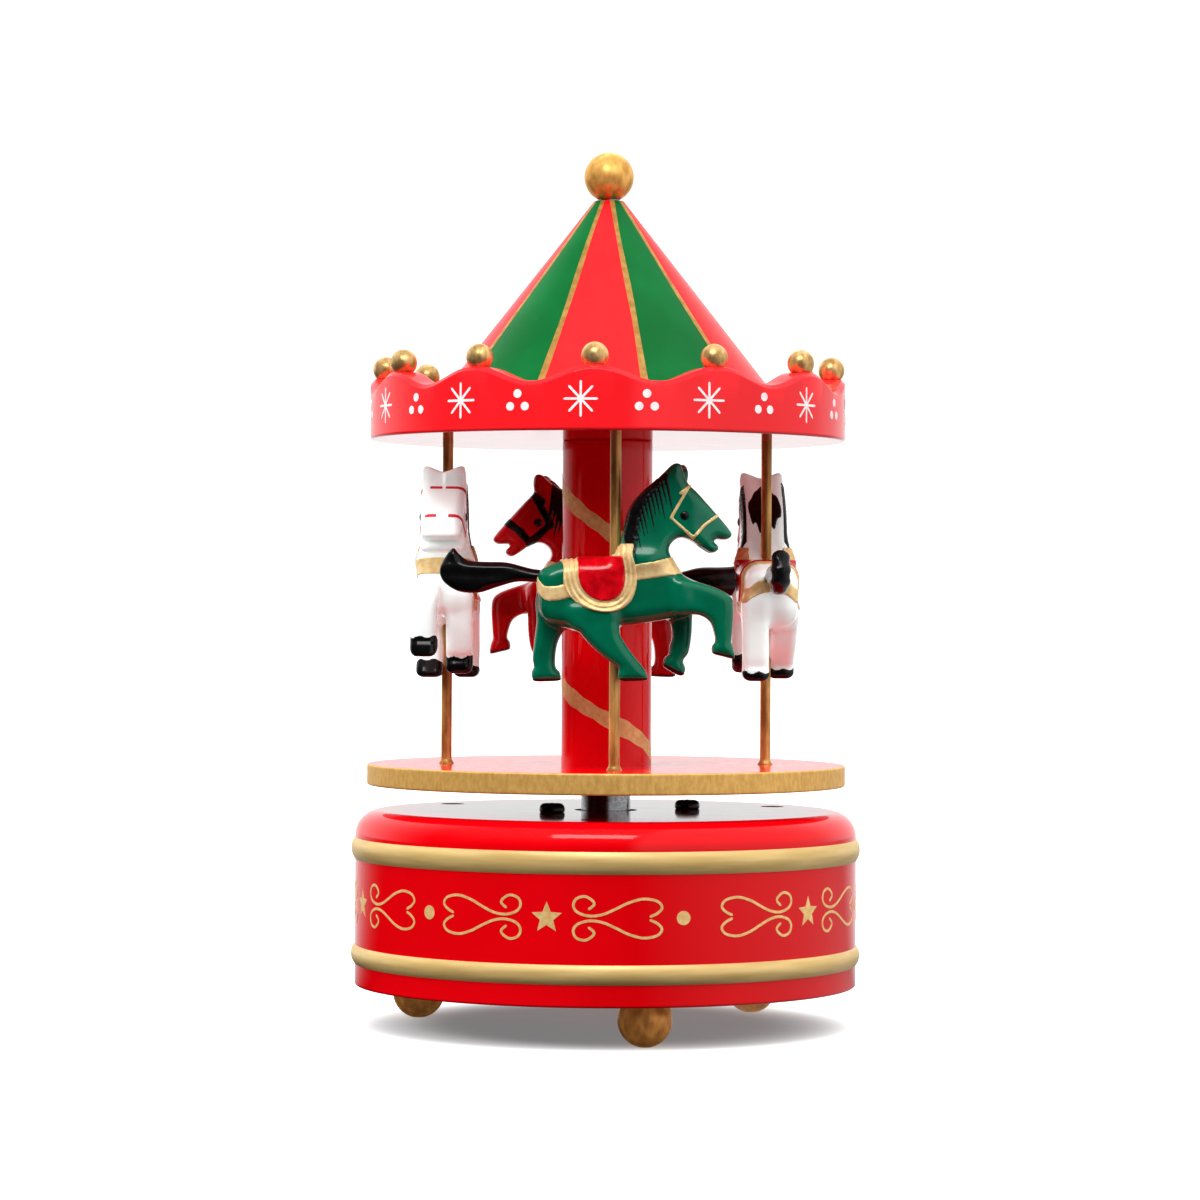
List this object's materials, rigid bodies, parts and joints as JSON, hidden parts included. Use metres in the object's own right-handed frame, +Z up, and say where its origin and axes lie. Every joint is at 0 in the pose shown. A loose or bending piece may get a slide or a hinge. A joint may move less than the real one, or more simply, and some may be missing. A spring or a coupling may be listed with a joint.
{
  "type": "carousel music box",
  "caption": "Wind-up carousel music box: horses on poles turn under a scalloped canopy on a round footed base that holds a pinned-cylinder movement.",
  "frame": {"origin": "centre of the round base on the ground plane, under the turning axis", "axes": "+Z up along the turning axis; -Y towards the viewer, +X to the viewer's right"},
  "size_m": [0.1014, 0.1014, 0.1744],
  "materials": {
    "red_gloss": "glossy moulded plastic",
    "platform_lacquer": "red lacquered disc with a gold painted edge",
    "roof_panels": "red and green painted panels with gold lines, glossy",
    "inner_plastic": "moulded plastic",
    "gold_paint": "metallic gold paint",
    "pole_brass": "satin",
    "zinc": "die-cast zinc, satin",
    "steel": "bright",
    "brass": "machined",
    "black_screw": "black",
    "horse_green": "glossy",
    "horse_white": "glossy, slightly translucent",
    "horse_red": "glossy",
    "saddle_red": "glossy paint",
    "black_paint": "glossy paint",
    "white_print": "printed",
    "gold_print": "printed metallic gold"
  },
  "bodies": {
    "base": {"base_shell": "red_gloss", "bottom_plate": "inner_plastic", "foot_front": "gold_paint", "foot_right": "gold_paint", "foot_left": "gold_paint", "foot_screws": "steel", "case_screws": "steel", "movement_screws": "black_screw", "bedplate": "zinc", "arbor_bush": "brass", "spring_housing": "steel", "housing_screws": "steel", "mainspring": "steel", "comb": "steel", "comb_screws": "steel", "inner_bracket": "steel", "train_bracket": "steel", "idler_bracket": "steel", "governor_frame": "zinc", "governor_screw": "steel"},
    "carousel": {"winding_arbor": "steel", "drive_wheel": "brass", "clutch_spring": "steel", "winding_hub": "zinc", "platform": "platform_lacquer", "column": "red_gloss", "tie_rod": "steel", "front_pole": "pole_brass", "right_pole": "pole_brass", "rear_pole": "pole_brass", "left_pole": "pole_brass", "front_horse": "horse_green", "right_horse": "horse_white", "rear_horse": "horse_red", "left_horse": "horse_white", "canopy_ring": "red_gloss", "canopy_roof": "roof_panels", "canopy_beads": "gold_paint", "finial": "gold_paint"},
    "cylinder": {"cylinder_drum": "brass", "cylinder_shaft": "steel", "cylinder_pinion": "brass", "cylinder_wheel": "brass"},
    "idler": {"idler_shaft": "steel", "idler_pinion": "brass", "worm_wheel": "brass"},
    "governor": {"governor_worm": "steel", "governor_fan": "steel"}
  },
  "joints": [
    {"name": "carousel_spin", "type": "hinge", "parent": "base", "child": "carousel", "pos_m": [0, 0, 0.0429], "axis": [0, 0, 1], "continuous": true},
    {"name": "cylinder_spin", "type": "hinge", "parent": "base", "child": "cylinder", "pos_m": [0.01472, -0.0085, 0.03135], "axis": [0.866, -0.5, 0], "continuous": true},
    {"name": "idler_spin", "type": "hinge", "parent": "base", "child": "idler", "pos_m": [0.03554, -0.01244, 0.02774], "axis": [0.866, -0.5, 0], "continuous": true},
    {"name": "governor_spin", "type": "hinge", "parent": "base", "child": "governor", "pos_m": [0.03872, -0.00734, 0.02774], "axis": [0, 0, 1], "continuous": true}
  ],
  "couplings": [
    {"joint": "cylinder_spin", "follows": "carousel_spin", "ratio": -4},
    {"joint": "idler_spin", "follows": "carousel_spin", "ratio": 16},
    {"joint": "governor_spin", "follows": "carousel_spin", "ratio": -160}
  ]
}
